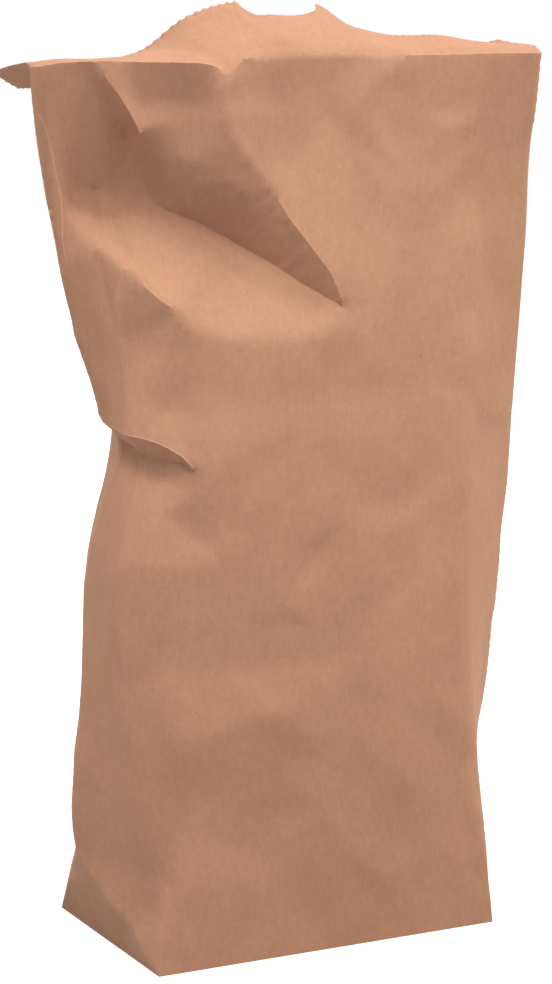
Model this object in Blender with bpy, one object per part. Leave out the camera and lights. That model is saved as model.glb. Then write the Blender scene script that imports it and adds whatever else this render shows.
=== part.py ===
"""A brown paper lunch bag that stands open on its flat base, with its mouth folded back once and its
side crushed in. The bag is one folded sheet: a front, a back, two gussets and a base, all one wall thick.

Places on the sheet are (across, up). Across runs round the bag: 0 is the middle of the front, the gusset
creases are at plus and minus EDGE, and both ends meet at the seam in the middle of the back. Up runs from
the base to the saw-cut mouth.
"""
import bpy
import bmesh
import math
import numpy as np
from mathutils import Vector
from mathutils.geometry import delaunay_2d_cdt

MM = 0.001

# Driving dimensions
WIDTH = 130 * MM            # base, left to right
DEPTH = 85 * MM             # base, front to back
FOLD_HEIGHT = 299 * MM      # base to the line where the mouth folds back
FLAP_LENGTH = 29 * MM       # fold line to the mouth
WALL = 0.3 * MM             # paper, and the air its crumples hold
FOLD_TILT = 5 * MM          # the fold line stands this much higher at its right end
FOLD_GAP = 6 * MM           # front sheet to back sheet at the fold
APEX_HEIGHT = 34 * MM       # where each gusset's two lower creases meet
TOOTH_PITCH = 3.6 * MM      # saw cut of the mouth
TOOTH_DEPTH = 0.9 * MM
NOTCH_WIDTH = 30 * MM       # thumb notch in the front sheet
NOTCH_DEPTH = 10 * MM
SHOULDER_LENGTH = 9 * MM    # paper that rolls over behind the fold
END_WIDTH = 5 * MM          # from a gusset crease to the front or back of the flattened end
FRONT_STEP = 9 * MM         # size of a facet on the front, and on the plainer back
BACK_STEP = 20 * MM
SOFT_ROUNDS = 1             # how often the dents are eased between their sharp creases

HALF = WIDTH / 2
GUSSET = DEPTH / 2
EDGE = HALF + GUSSET        # across, at a gusset's centre crease
SEAM = 2 * EDGE             # across, at the seam in the back
BACK_EDGE = SEAM - HALF     # across, at a back corner

# Each upright crease as (share of the fold height, swing, set): swing moves it out past the base's side and set
# puts it in front of (-) or behind (+) the bag's middle, both as shares of a gusset's half
GUSSET_LEFT = [(0, 0, 0), (0.115, 0.28, 0), (0.33, 0.25, -0.1), (0.53, 0.25, -0.19), (0.67, 0.3, -0.26),
               (0.78, 0.48, -0.32), (0.87, 0.62, -0.36), (0.95, 0.72, -0.4), (1, 0.75, -0.42)]
GUSSET_RIGHT = [(0, 0, 0), (0.115, 0.29, -0.07), (0.2, 0.34, -0.14), (0.34, 0.38, -0.32), (0.49, 0.46, -0.38),
                (0.63, 0.53, -0.39), (0.77, 0.6, -0.39), (0.87, 0.62, -0.4), (0.97, 0.7, -0.42),
                (1, 0.72, -0.43)]
FRONT_LEFT = [(0, 0, -1), (0.1, -0.04, -1), (0.2, 0.09, -0.98), (0.37, 0.23, -0.94), (0.5, 0.19, -0.88),
              (0.63, 0.14, -0.8), (0.77, 0.12, -0.67), (0.9, 0.07, -0.52), (1, 0.02, -0.42)]
FRONT_RIGHT = [(0, 0, -1), (0.1, -0.09, -0.99), (0.2, -0.19, -1), (0.37, -0.3, -0.99), (0.5, -0.26, -0.92),
               (0.63, -0.19, -0.82), (0.77, -0.12, -0.7), (0.9, -0.04, -0.55), (1, 0.04, -0.43)]
BACK_RIGHT = [(0, 0, 1), (0.13, -0.12, 0.92), (0.33, -0.1, 0.84), (0.5, 0, 0.68), (0.67, 0.05, 0.42),
              (0.83, 0.1, 0.02), (1, 0.04, -0.43)]
BACK_LEFT = [(0, 0, 1), (0.13, -0.16, 0.88), (0.33, -0.16, 0.78), (0.5, -0.12, 0.62), (0.67, -0.06, 0.4),
             (0.83, 0.1, 0.02), (1, 0.02, -0.42)]
FRONT_BULGE = [(0, 0), (0.2, 3.5 * MM), (0.5, 5.5 * MM), (0.8, 4 * MM), (0.92, 0), (1, 0)]
BACK_BULGE = [(0, 0), (0.2, 7 * MM), (0.5, 9 * MM), (0.8, 3 * MM), (0.92, 0), (1, 0)]

# How far from a crease the sheet starts to turn, at shares of the way round from the seam to the seam
TURN = [(-1, 12 * MM), (-0.7, 6 * MM), (-0.5, 1.5 * MM), (-0.42, 6 * MM), (-0.34, 12 * MM), (-0.27, 15 * MM),
        (-0.15, 14 * MM), (0, 8 * MM), (0.2, 6 * MM), (0.3, 3.5 * MM), (0.38, 4 * MM), (0.5, 1.5 * MM),
        (0.7, 6 * MM), (1, 12 * MM)]
TURN_SAMPLES = 9            # places on the sheet whose mean gives a rounded corner

# How steeply the mouth flap rises behind the fold, in degrees, from the left end to the right end of each sheet
FRONT_RISE = [(-1, -5), (-0.56, -2), (-0.41, 8), (-0.31, 28), (-0.14, 43), (0.15, 38), (0.28, 19), (0.4, 12),
              (0.6, 10), (0.75, 6), (1, 3)]
BACK_RISE = [(-1, -7), (-0.4, -10), (-0.1, 2), (0.2, 6), (0.6, 4), (1, 6)]
SHOULDER_RISE = [(-1, 24), (-0.5, 24), (-0.25, 46), (0.5, 44), (1, 34)]    # where it leaves the fold
FLAP_STRIPS = 8             # steps along the flap in which its rise is added up
PUSH_SPREAD = 12 * MM       # a dent is pushed square to the sheet as it runs this far to each side

# How much lower the back sheet folds than the front, from the left end to the right end
BACK_DROP = [(-1, 6 * MM), (-0.7, 5 * MM), (-0.4, 3 * MM), (1, 3 * MM)]
DROP_WIDTH = 12 * MM        # the back sheet reaches that drop this far past the gusset crease

# Dents and folds of the front as drawn on a sheet of DRAWN_WIDTH, gusset crease to gusset crease, by DRAWN_HEIGHT,
# base to fold. Each is a line of (across, up, out, down) in millimetres: out is how far the paper stands proud
# of the smooth bag, and down how far it hangs. A sharp one keeps its edge, and a soft one is eased
DRAWN_WIDTH = 215
DRAWN_HEIGHT = 299
NET_REACH = 1.8 * EDGE      # past this, across, the drawn dents have died away
RIM_POINTS = 9              # places along each side of the flat rim round the drawn dents
SHARP = {
    "fold line": [(-107.5, 299, 0, 0), (-94, 299, 0, -1), (-77.5, 299, 0, -1.3), (-66, 299, 0, -1),
                  (-52, 299, 0, -0.6), (-40, 299, 0, 0), (-34, 299, 0, 0.8), (-31.5, 299, 0, 2),
                  (-30, 299, 0, 3.8), (-28, 299, 0, 4.4), (-25.5, 299, 0, 2.2), (-22, 299, 0, -0.9),
                  (-18, 299, 0, -1.4), (-5, 299, 0, -1.7), (22, 299, 0, -1.8), (36, 299, 0, -0.6),
                  (68, 299, 0, -0.4), (107.5, 299, 0, 0)],
    "valley's start": [(-101.6, 257.3, -4.4, 0), (-95.4, 257.8, -8, 0), (-89, 259, -10.6, 0),
                       (-79.3, 259.7, -13.2, 0)],
    "valley, left part": [(-79.3, 259.7, -13.2, 0), (-66.7, 260.2, -15.2, 0), (-54.5, 260.2, -16.4, 0),
                          (-48.5, 257.6, -16.5, 0)],
    "valley, middle": [(-48.5, 257.6, -16.5, 0), (-41.5, 254.1, -17, 0), (-32.4, 251.3, -17, 0),
                       (-23.3, 246.2, -16, 0)],
    "valley, right part": [(-23.3, 246.2, -16, 0), (-14.9, 240.8, -14, 0), (-7.2, 235.2, -11, 0),
                           (0.5, 228.4, -7.5, 0), (8.2, 222.6, -3.5, 0), (13.1, 219, 0.5, 0)],
    "lens": [(-101.6, 257.3, -4.4, 0), (-96.1, 254.8, -7.7, 0), (-92, 253.4, -9.8, 0),
             (-82.1, 251.4, -12.6, 0), (-66, 251, -14.9, 0), (-54.1, 254.1, -16.3, 0),
             (-48.5, 257.6, -16.5, 0)],
    "brow, upright part": [(-30, 299, 0, 3.8), (-30.2, 292, 0.2, 1), (-29, 285, 0.4, 0),
                           (-28.2, 279.3, 0.4, 0)],
    "pucker": [(-28, 299, 0, 4.4), (-26.6, 295, 0.9, 2.2), (-24.6, 291.5, 0.6, 0.8), (-22, 289, 0, 0)],
    "brow": [(-28.2, 279.3, 0.4, 0), (-24.7, 273, 0.5, 0), (-17.7, 264.6, 0.7, 0), (-11.4, 257, 0.8, 0)],
    "brow, lower part": [(-11.4, 257, 0.8, 0), (-6.5, 248.5, 1, 0), (0.5, 239.4, 1.2, 0),
                         (8.2, 229.6, 1.2, 0), (13.1, 219, 0.5, 0)],
    "crest": [(-77.5, 299, 0, -1.3), (-71.6, 293.3, -0.1, -0.3), (-66.2, 288.4, -0.4, 0),
              (-62, 283.5, -1.1, 0), (-59, 279.6, -2.2, 0), (-57.6, 277.2, -2.6, 0)],
    "crest's tip": [(-57.6, 277.2, -2.6, 0), (-54.1, 278.6, -3, 0), (-49.9, 279.5, -3.4, 0)],
    "left edge": [(-105, 284.2, 0, 0), (-103.1, 280, -0.5, 0), (-101.9, 272.3, -1.7, 0),
                  (-101.9, 264.6, -3, 0), (-101.6, 257.3, -4.4, 0), (-101.9, 252, -3, 0),
                  (-103.1, 243.6, -1.3, 0), (-102.4, 236.6, -0.4, 0)],
    "ridge, corner": [(-56.9, 228.2, -3, 0), (-52, 224, -2, 0), (-47.8, 221.2, -1.5, 0)],
    "pinch, lip": [(-107.5, 187, -5, 1), (-100.4, 184.3, -4.2, 1), (-91.2, 183.5, -4.2, 1),
                   (-80, 182.7, -4.2, 1.2), (-65, 181.8, -3.2, 1.5), (-59.7, 181, -2, 1.5),
                   (-54.8, 179.6, -1.2, 1.5), (-51.3, 177.8, -0.6, 1.2), (-46.4, 174.3, -0.2, 0.6),
                   (-42.9, 170.1, -0.2, 0)],
    "pinch, valley": [(-107.5, 177.5, -12.5, 0), (-100, 176.8, -12, 0), (-88.4, 176.3, -11.4, 0),
                      (-76, 175.7, -10.8, 0), (-65, 175.1, -9.8, 0), (-55.5, 173.4, -8, 0),
                      (-50.6, 172.5, -5.8, 0), (-46.4, 171.8, -3, 0), (-42.9, 170.1, -0.2, 0)],
    "pinch, foot": [(-107.5, 171, -12.8, 0), (-100, 170.8, -12.4, 0), (-89, 170.3, -12, 0),
                    (-76.5, 169.8, -11.6, 0), (-65, 169.2, -10.6, 0), (-55.5, 167.5, -8.8, 0),
                    (-49.9, 167.1, -6.4, 0), (-46.4, 167.5, -3.8, 0), (-42.9, 170.1, -0.2, 0)],
}
SOFT = {
    "steep part": [(-51.5, 268.8, -8.4, 0), (-45, 269.5, -6.4, 0), (-36.6, 267.4, -5, 0),
                   (-27.5, 261.8, -4.3, 0), (-19.1, 256.5, -2.8, 0), (-10.7, 249.8, -1.6, 0),
                   (-2.4, 240.4, -0.8, 0), (3.6, 232.2, -0.3, 0)],
    "crest's foot": [(-80, 296.8, -1.8, 0), (-73, 290.5, -4.2, 0), (-67, 283.5, -7.2, 0),
                     (-61, 277, -9.8, 0), (-55.4, 270.2, -12.4, 0), (-51.2, 263.9, -14.8, 0),
                     (-48.5, 257.6, -16.5, 0)],
    "crest runs out": [(-49.9, 279.5, -3.4, 0), (-42.2, 280.2, -3.8, 0), (-35.9, 280.4, -3.2, 0),
                       (-28.2, 279.3, 0.4, 0)],
    "under the fold": [(-58.6, 287.2, -3.6, 0), (-47.6, 287, -4.4, 0), (-37.8, 286.6, -3.8, 0),
                       (-33.2, 287.2, -2, 0)],
    "left panel": [(-89.8, 291.2, -1.7, 0), (-86.3, 283.5, -4, 0), (-83.5, 275.1, -6.2, 0),
                   (-80, 267.4, -8.8, 0)],
    "gusset crease": [(-107.5, 292, 0, 0), (-107.5, 257, 0, 0), (-107.5, 230, 0, 0), (-107.5, 212, 0, 0)],
    "ridge": [(-101.6, 257.3, -4.4, 0), (-97.7, 252, -4.4, 0), (-91.2, 247.1, -4.8, 0),
              (-84.9, 242.4, -5.2, 0), (-75.8, 239.6, -5.2, 0), (-68.1, 236.6, -4.6, 0),
              (-62.5, 232.6, -3.8, 0), (-56.9, 228.2, -3, 0)],
    "ridge runs right": [(-47.8, 221.2, -1.5, 0), (-40.8, 214.2, -1.6, 0), (-31.7, 211.4, -1.5, 0),
                         (-13.5, 210, -0.9, 0), (-3.7, 209.3, -0.4, 0), (4.7, 211.4, 0.3, 0),
                         (13.1, 219, 0.5, 0)],
    "left facet's foot": [(-47.8, 221.2, -1.5, 0), (-51.3, 217, -4.5, 0), (-59.7, 212.1, -7.4, 0),
                          (-76, 209.5, -6.9, 0), (-93, 206.3, -4, 0), (-105.2, 203.7, -1, 0)],
    "left facet's edge": [(-102.4, 236.6, -0.4, 0), (-104, 226.1, -0.7, 0), (-105.2, 215.6, -1, 0),
                          (-105.2, 203.7, -1, 0)],
    "belly": [(-47.8, 221.2, -1.5, 0), (-45, 214.2, -2, 0), (-41.5, 207.2, -2.4, 0), (-38.7, 196, -2.5, 0),
              (-37.3, 186.2, -2.2, 0), (-38, 175, -0.8, 0), (-38, 165.9, 0.2, 0), (-42.9, 159.6, -0.8, 0)],
    "belly's foot": [(-37.3, 186.2, -2.2, 0), (-19.8, 188, -1.2, 0), (-5.1, 189, -0.8, 0),
                     (12.4, 190.4, -0.8, 0), (24.5, 191.9, -0.3, 0), (36, 193.5, 0, 0)],
    "tip ridge": [(13.1, 219, 0.5, 0), (17.3, 209.3, 1, 0), (24.5, 191.9, -0.3, 0)],
    "ray, upper": [(13.1, 219, 0.5, 0), (15.9, 230.3, 0.9, 0), (19.4, 241.5, 0.3, 0)],
    "ray, lower": [(13.1, 219, 0.5, 0), (21.5, 223.3, 0.8, 0), (29.2, 232.4, 0.2, 0)],
    "above the pinch": [(-101, 196, -2, 0), (-92, 193.8, -3.6, 0), (-75.1, 192.6, -5.4, 0),
                        (-56.9, 190.8, -5.2, 0), (-46.4, 188.6, -3.5, 0), (-37.3, 186.2, -2.2, 0)],
    "below the pinch": [(-100.3, 156.3, -6.2, 0), (-84.2, 156.8, -5.8, 0), (-62.5, 156.8, -5, 0),
                        (-51.3, 157, -3, 0), (-42.9, 159.6, -0.8, 0)],
    "gusset pulled in": [(-107.5, 212, 0, 0), (-107.5, 200, -2, 0), (-107.5, 187, -5, 1),
                         (-107.5, 177.5, -12.5, 0), (-107.5, 171, -12.8, 0), (-107.5, 158, -6.5, 0),
                         (-107.5, 143, -2.5, 0), (-107.5, 128, 0, 0)],
    "gusset behind": [(-128, 212, 0, 0), (-128, 195, -4.5, 0), (-128, 180, -10.5, 0), (-128, 165, -8, 0),
                      (-128, 147, -3, 0), (-128, 130, 0, 0)],
    "back corner pulled in": [(-150, 218, 0, 0), (-150, 198, -5, 0), (-150, 180, -9.5, 0),
                              (-150, 163, -7, 0), (-150, 145, -3, 0), (-150, 130, 0, 0)],
    "middle": [(-70, 138, 0, 0), (-30, 138, 0, 0), (0, 140, 0, 0), (40, 140, 0, 0), (80, 130, 0, 0)],
    "factory fold": [(-25, 176, 0.3, 0), (-5, 178, 0.2, 0), (25, 175, 0.3, 0), (52, 171, 0.2, 0),
                     (100, 168.5, 0.2, 0)],
    "low hollow, top": [(-85, 97, 0, 0), (-69, 100, -0.6, 0), (-57, 104, -1, 0), (-27, 103, -1.1, 0),
                        (9, 103, -0.7, 0), (22, 108, 0, 0)],
    "low ridge": [(-72, 60, 0.2, 0), (-58, 68, 0.9, 0), (-47, 79, 1.3, 0), (-25, 86, 1.4, 0),
                  (-6, 87, 1.2, 0), (4, 88, 0.6, 0), (1, 70, 0.7, 0), (1, 49, 0.9, 0), (-9, 38, 0.6, 0),
                  (-17, 29, 0.3, 0)],
    "low hollow": [(-45, 58, -0.2, 0), (-25, 50, -0.3, 0), (-20, 65, 0, 0)],
    "right ridge": [(97, 115, 0.3, 0), (89, 97, 0.6, 0), (61, 86, 1.1, 0), (55, 78, 1.4, 0),
                    (50, 61, 1.5, 0), (51, 48, 0.6, 0)],
    "bottom fold": [(-17, 29, 0.3, 0), (2, 28, 0.6, 0), (32, 29, 0.8, 0), (58, 28, 0.8, 0)],
    "corner valley": [(-63, 42, 0, 0), (-65, 30, -1, 0), (-70.5, 22, -1.8, 0), (-79, 10, -0.8, 0)],
    "corner ridge": [(-60, 29, 0.8, 0), (-62, 15, 0.8, 0), (-64, 4, 0, 0)],
    "top ray": [(29.2, 293.3, 1.2, 0), (18.7, 282.1, 1.2, 0), (13.8, 276.5, 0, 0)],
    "top hollow": [(6, 288, -0.8, 0), (10, 280, -0.6, 0)],
    "top hollow, right": [(36, 288, -0.9, 0), (48, 282, -0.9, 0), (54, 275, 0, 0)],
    "top dimples": [(62, 281.4, -1.2, 0), (66, 278, -0.4, 0), (69.8, 274.4, -1.4, 0)],
    "right field": [(40, 258, 0, 0), (48, 230, 0, 0), (60, 200, 0, 0)],
}


def read(stops, share):
    """The value at each share along a list of stops, on a smooth curve through them."""
    at = np.array([s[0] for s in stops], float)
    value = np.array([s[1] for s in stops], float)
    slope = np.gradient(value, at)
    share = np.clip(share, at[0], at[-1])
    k = np.clip(np.searchsorted(at, share, side="right") - 1, 0, len(at) - 2)
    gap = at[k + 1] - at[k]
    t = (share - at[k]) / gap
    rise = 3 * t**2 - 2 * t**3
    lead = t**3 - 2 * t**2 + t
    trail = t**3 - t**2
    return value[k] + (value[k + 1] - value[k]) * rise + gap * (slope[k] * lead + slope[k + 1] * trail)


def ease(value):
    """A smooth step from 0 to 1."""
    value = np.clip(value, 0, 1)
    return value * value * (3 - 2 * value)


def crease(stops, side, share):
    """An upright crease in plan, at each share of the fold height."""
    swing = read([(s[0], s[1]) for s in stops], share)
    depth = read([(s[0], s[2]) for s in stops], share)
    return side * (HALF + swing * GUSSET), depth * GUSSET


def slant(stops, side, facing, share):
    """The crease that climbs from a base corner to the gusset's apex, then runs on with the gusset crease."""
    climb = np.clip(share * FOLD_HEIGHT / APEX_HEIGHT, 0, 1)
    x, y = crease(stops, side, np.maximum(share, APEX_HEIGHT / FOLD_HEIGHT))
    return side * HALF + (x - side * HALF) * climb, facing * GUSSET + (y - facing * GUSSET) * climb


def plan(across, share):
    """Where the smooth bag lies in plan, for places across the sheet at shares of the fold height."""
    climb = GUSSET * np.clip(share * FOLD_HEIGHT / APEX_HEIGHT, 0, 1)
    flat = np.zeros_like(share)
    stops = [(flat - SEAM - HALF, crease(BACK_RIGHT, 1, share)),
             (flat - BACK_EDGE, crease(BACK_LEFT, -1, share)),
             (flat - BACK_EDGE + climb, slant(GUSSET_LEFT, -1, 1, share)),
             (flat - EDGE, crease(GUSSET_LEFT, -1, share)),
             (flat - HALF - climb, slant(GUSSET_LEFT, -1, -1, share)),
             (flat - HALF, crease(FRONT_LEFT, -1, share)),
             (flat + HALF, crease(FRONT_RIGHT, 1, share)),
             (flat + HALF + climb, slant(GUSSET_RIGHT, 1, -1, share)),
             (flat + EDGE, crease(GUSSET_RIGHT, 1, share)),
             (flat + BACK_EDGE - climb, slant(GUSSET_RIGHT, 1, 1, share)),
             (flat + BACK_EDGE, crease(BACK_RIGHT, 1, share)),
             (flat + SEAM + HALF, crease(BACK_LEFT, -1, share))]
    x = np.zeros_like(share)
    y = np.zeros_like(share)
    for (start, here), (end, there) in zip(stops, stops[1:]):
        inside = (across >= start) & (across <= end) & (end > start)
        t = (across - start) / np.where(end > start, end - start, 1)
        x = np.where(inside, here[0] + (there[0] - here[0]) * t, x)
        y = np.where(inside, here[1] + (there[1] - here[1]) * t, y)
    return x, y


def side_of(across):
    """1 on the front, -1 on the back, and between the two at the flattened ends."""
    share = np.clip((EDGE - np.abs(across)) / END_WIDTH, -1, 1)
    return share * (3 - share**2) / 2


def smooth_bag(across, up):
    """The bag before it is dented, in space, for places on the sheet."""
    share = np.clip(up / FOLD_HEIGHT, 0, 1)
    turn = read(TURN, across / SEAM) * ease(share / 0.2)
    x = np.zeros_like(share)
    y = np.zeros_like(share)
    for k in np.linspace(-1, 1, TURN_SAMPLES):
        at = plan((across + k * turn + SEAM) % (2 * SEAM) - SEAM, share)
        x += at[0] / TURN_SAMPLES
        y += at[1] / TURN_SAMPLES
    side = side_of(across)
    front = np.clip(1 - (across / HALF)**2, 0, 1)
    back = np.clip(1 - ((SEAM - np.abs(across)) / HALF)**2, 0, 1)
    y += read(BACK_BULGE, share) * back - read(FRONT_BULGE, share) * front
    y -= side * FOLD_GAP / 2 * ease((share - 0.8) / 0.2)
    across_front = np.where(np.abs(across) > EDGE, np.sign(across) * SEAM - across, across) / EDGE
    z = share * FOLD_HEIGHT + FOLD_TILT * share**2 * (across_front + 1) / 2
    behind = np.clip((np.abs(across) - EDGE) / DROP_WIDTH, 0, 1)
    z -= read(BACK_DROP, across_front) * behind * ease((share - 0.9) / 0.1)

    # Past the fold the paper runs on as the flap, first over a shoulder and then at its own rise
    past = np.clip(up - FOLD_HEIGHT, 0, None)
    rise = read(FRONT_RISE, across_front) * (1 + side) / 2 + read(BACK_RISE, across_front) * (1 - side) / 2
    shoulder = read(SHOULDER_RISE, across_front)
    for k in range(FLAP_STRIPS):
        done = past * (k + 0.5) / FLAP_STRIPS
        angle = np.radians(shoulder + (rise - shoulder) * ease(done / SHOULDER_LENGTH))
        y += past / FLAP_STRIPS * np.cos(angle)
        z += past / FLAP_STRIPS * np.sin(angle)
    return np.stack([x, y, z], 1)


def outward(across, up):
    """The direction in which a dent is pushed: square to the smooth bag, averaged round its corners."""
    step = 1 * MM
    before = smooth_bag((across - PUSH_SPREAD + SEAM) % (2 * SEAM) - SEAM, up)
    after = smooth_bag((across + PUSH_SPREAD + SEAM) % (2 * SEAM) - SEAM, up)
    along = after - before
    rise = smooth_bag(across, up + step) - smooth_bag(across, np.maximum(up - step, 0))
    normal = np.cross(along, rise)
    return normal / np.linalg.norm(normal, axis=1, keepdims=True)


def drawn(line):
    """A drawn line in metres on this bag's own sheet: its places, and how far out and down each is."""
    wide = 2 * EDGE / DRAWN_WIDTH
    high = FOLD_HEIGHT / DRAWN_HEIGHT
    return [((a * wide, u * high), (out * MM, down * MM)) for a, u, out, down in line]


def dent_net():
    """The drawn creases as a net of triangles that carries out and down over the front."""
    places = []
    moves = []
    edges = []
    for across in np.linspace(-NET_REACH, NET_REACH, RIM_POINTS):
        for up in (0, FOLD_HEIGHT + FLAP_LENGTH):
            places.append((across, up))
            moves.append((0, 0))
    for up in np.linspace(0, FOLD_HEIGHT, RIM_POINTS)[1:]:
        for across in (-NET_REACH, NET_REACH):
            places.append((across, up))
            moves.append((0, 0))
    for line in list(SHARP.values()) + list(SOFT.values()):
        last = None
        for place, move in drawn(line):
            near = [k for k, p in enumerate(places) if math.dist(p, place) < 0.1 * MM]
            here = near[0] if near else len(places)
            if not near:
                places.append(place)
                moves.append(move)
            if last is not None:
                edges.append((last, here))
            last = here
    verts, _, faces, origin, _, _ = delaunay_2d_cdt([Vector(p) for p in places], edges, [], 0, 1e-7)
    move = np.array([np.mean([moves[k] for k in o], 0) if o else (np.nan, np.nan) for o in origin])
    return np.array([tuple(v) for v in verts]), move, np.array(faces)


def dent(net, across, up):
    """Out and down at each place, read off the net."""
    points, move, faces = net
    result = np.zeros((len(across), 2))
    for a, b, c in faces:
        origin, first, second = points[a], points[b] - points[a], points[c] - points[a]
        area = first[0] * second[1] - first[1] * second[0]
        if abs(area) < 1e-12:
            continue
        dx, dy = across - origin[0], up - origin[1]
        s = (dx * second[1] - dy * second[0]) / area
        t = (first[0] * dy - first[1] * dx) / area
        inside = (s >= -1e-6) & (t >= -1e-6) & (s + t <= 1 + 1e-6)
        value = move[a] + s[:, None] * (move[b] - move[a]) + t[:, None] * (move[c] - move[a])
        result = np.where(inside[:, None], value, result)
    return result


def split(line, step):
    """A line with extra points, so that none of its stretches is longer than a step."""
    points = [line[0]]
    for start, end in zip(line, line[1:]):
        count = max(1, math.ceil(math.dist(start, end) / step))
        run = np.array(end) - np.array(start)
        points += [tuple(np.array(start) + run * k / count) for k in range(1, count + 1)]
    return points


def mouth():
    """The saw-cut edge from seam to seam, with the thumb notch in the front."""
    top = FOLD_HEIGHT + FLAP_LENGTH
    teeth = 2 * round(SEAM / TOOTH_PITCH)
    points = []
    for k in range(2 * teeth + 1):
        across = -SEAM + 2 * SEAM * k / (2 * teeth)
        notch = max(0, 1 - (2 * across / NOTCH_WIDTH)**2)**0.5
        tooth = TOOTH_DEPTH * (k % 2) if notch == 0 else 0
        points.append((across, top - tooth - NOTCH_DEPTH * notch))
    return points


def sheet_lines():
    """Every line that the sheet is folded or cut along, as points on the flat sheet."""
    creases = []
    for across in (-BACK_EDGE, -EDGE, -HALF, HALF, EDGE, BACK_EDGE):
        creases.append([(across, 0), (across, FOLD_HEIGHT)])
    for side in (-1, 1):
        creases.append([(side * HALF, 0), (side * EDGE, APEX_HEIGHT), (side * BACK_EDGE, 0)])
    creases.append([(-SEAM, FOLD_HEIGHT), (SEAM, FOLD_HEIGHT)])
    creases.append([(-SEAM, FOLD_HEIGHT + SHOULDER_LENGTH / 2), (SEAM, FOLD_HEIGHT + SHOULDER_LENGTH / 2)])
    for line in list(SHARP.values()) + list(SOFT.values()):
        creases.append([place for place, _ in drawn(line)])
    return creases


def flat_mesh():
    """The sheet laid flat and cut into triangles that follow its creases."""
    rim = mouth()
    upright = [u for _, u in split([(0, 0), (0, FOLD_HEIGHT)], BACK_STEP)] + [FOLD_HEIGHT + SHOULDER_LENGTH / 2]
    foot = []
    for start, end in zip((-SEAM, -BACK_EDGE, -EDGE, -HALF, HALF, EDGE, BACK_EDGE),
                          (-BACK_EDGE, -EDGE, -HALF, HALF, EDGE, BACK_EDGE, SEAM)):
        foot += split([(start, 0), (end, 0)], BACK_STEP)[:-1]
    border = foot + [(SEAM, u) for u in upright] + rim[::-1] + [(-SEAM, u) for u in upright[:0:-1]]
    points = list(border)
    edges = []
    for line in sheet_lines():
        front = min(abs(a) for a, _ in line) < EDGE + END_WIDTH
        line = split(line, FRONT_STEP if front else BACK_STEP)
        edges += [(len(points) + k, len(points) + k + 1) for k in range(len(line) - 1)]
        points += line
    fixed = np.array(points)
    row = 0
    up = FRONT_STEP / 2
    top = FOLD_HEIGHT + FLAP_LENGTH - NOTCH_DEPTH
    while up < top:
        across = -SEAM
        while across < SEAM:
            step = FRONT_STEP if abs(across) < EDGE + FRONT_STEP else BACK_STEP
            place = (across + (row % 2) * step / 2, up)
            sparse = step == BACK_STEP and row % 2
            if not sparse and np.min(np.hypot(*(fixed - place).T)) > 0.55 * step:
                points.append(place)
            across += step
        row += 1
        up += FRONT_STEP * math.sqrt(0.75)
    outline = list(range(len(border)))
    verts, _, faces, _, _, _ = delaunay_2d_cdt([Vector(p) for p in points], edges, [outline], 1, 1e-6)
    return np.array([tuple(v) for v in verts]), [tuple(f) for f in faces]


def on_lines(across, up, lines, reach):
    """Which places lie within reach of any of the lines."""
    hit = np.zeros(len(across), bool)
    for line in lines:
        for start, end in zip(line, line[1:]):
            start, run = np.array(start), np.array(end) - np.array(start)
            t = np.clip(((across - start[0]) * run[0] + (up - start[1]) * run[1]) / (run @ run), 0, 1)
            hit |= np.hypot(across - start[0] - t * run[0], up - start[1] - t * run[1]) < reach
    return hit


def eased(move, faces, held):
    """The dents with every vertex but the held ones drawn towards its neighbours."""
    total = np.zeros(len(move))
    pairs = np.array([(f[i], f[(i + 1) % 3]) for f in faces for i in range(3)])
    np.add.at(total, pairs[:, 0], 1)
    np.add.at(total, pairs[:, 1], 1)
    for _ in range(SOFT_ROUNDS):
        around = np.zeros_like(move)
        np.add.at(around, pairs[:, 0], move[pairs[:, 1]])
        np.add.at(around, pairs[:, 1], move[pairs[:, 0]])
        mean = around / np.maximum(total, 1)[:, None]
        move = np.where(held[:, None], move, (move + mean) / 2)
    return move


def folded(places, faces):
    """The sheet's vertices in space, folded into the bag and dented."""
    across, up = places[:, 0], places[:, 1]
    move = dent(dent_net(), across, up)
    sharp = [[place for place, _ in drawn(line)] for line in SHARP.values()]
    held = on_lines(across, up, sharp, 0.05 * MM) | (up < 0.05 * MM)
    move = eased(move, faces, held)
    place = smooth_bag(across, up) + outward(across, up) * move[:, :1]
    place[:, 2] -= move[:, 1]
    place[up < 0.01 * MM, 2] = 0
    return place


def kraft_paper():
    """Unbleached brown paper, dull and a little uneven."""
    paper = bpy.data.materials.new("kraft_paper")
    paper.use_nodes = True
    shader = paper.node_tree.nodes["Principled BSDF"]
    shader.inputs["Base Color"].default_value = (0.46, 0.24, 0.14, 1)
    shader.inputs["Roughness"].default_value = 0.85
    shader.inputs["Metallic"].default_value = 0
    return paper


def make_bag():
    """The bag as one object: the folded sheet with its base, given its wall."""
    places, faces = flat_mesh()
    space = folded(places, faces)
    work = bmesh.new()
    verts = [work.verts.new(p) for p in space]
    for face in faces:
        work.faces.new([verts[k] for k in face])
    bmesh.ops.remove_doubles(work, verts=work.verts, dist=0.001 * MM)
    foot = [e for e in work.edges if e.is_boundary and max(v.co.z for v in e.verts) < 0.01 * MM]
    bmesh.ops.edgeloop_fill(work, edges=foot)
    bmesh.ops.recalc_face_normals(work, faces=work.faces)
    base = min(work.faces, key=lambda f: f.calc_center_median().z)
    if base.normal.z > 0:
        bmesh.ops.reverse_faces(work, faces=work.faces)
    mesh = bpy.data.meshes.new("bag")
    work.to_mesh(mesh)
    work.free()
    bag = bpy.data.objects.new("bag", mesh)
    bpy.context.collection.objects.link(bag)
    bag.data.materials.append(kraft_paper())
    wall = bag.modifiers.new("wall", "SOLIDIFY")
    wall.thickness = WALL
    wall.offset = -1
    wall.use_even_offset = False
    return bag


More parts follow.
